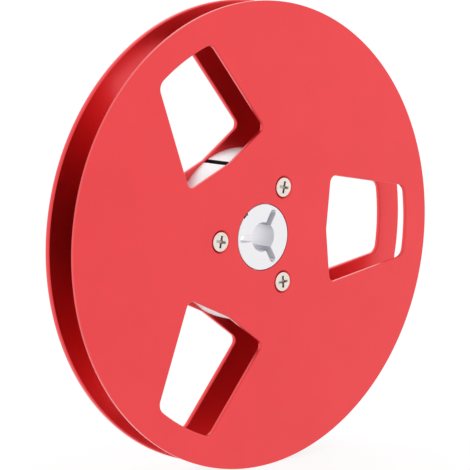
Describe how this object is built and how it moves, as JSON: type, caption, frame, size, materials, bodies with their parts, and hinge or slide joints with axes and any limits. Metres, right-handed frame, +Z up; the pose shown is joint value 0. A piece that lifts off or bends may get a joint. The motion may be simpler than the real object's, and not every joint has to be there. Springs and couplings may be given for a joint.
{
  "type": "audio tape reel",
  "caption": "Open tape reel: two red anodised aluminium flanges with windows, screwed to a turned hub with a keyed spindle bore and a threading slit.",
  "frame": {"origin": "middle of the spindle bore, halfway between the flanges", "axes": "Y along the spindle axis with the front flange towards -Y, Z up with the reel standing on edge, X to the right seen from the front"},
  "size_m": [0.127, 0.012, 0.127],
  "materials": {
    "flange_red": "blasted and red anodised, satin",
    "hub_metal": "turned, bright satin",
    "screw_nickel": "nickel plated"
  },
  "bodies": {
    "root": {"front_flange": "flange_red", "rear_flange": "flange_red", "hub": "hub_metal", "front_screw_1": "screw_nickel", "front_screw_2": "screw_nickel", "front_screw_3": "screw_nickel", "rear_screw_1": "screw_nickel", "rear_screw_2": "screw_nickel", "rear_screw_3": "screw_nickel"}
  },
  "joints": []
}
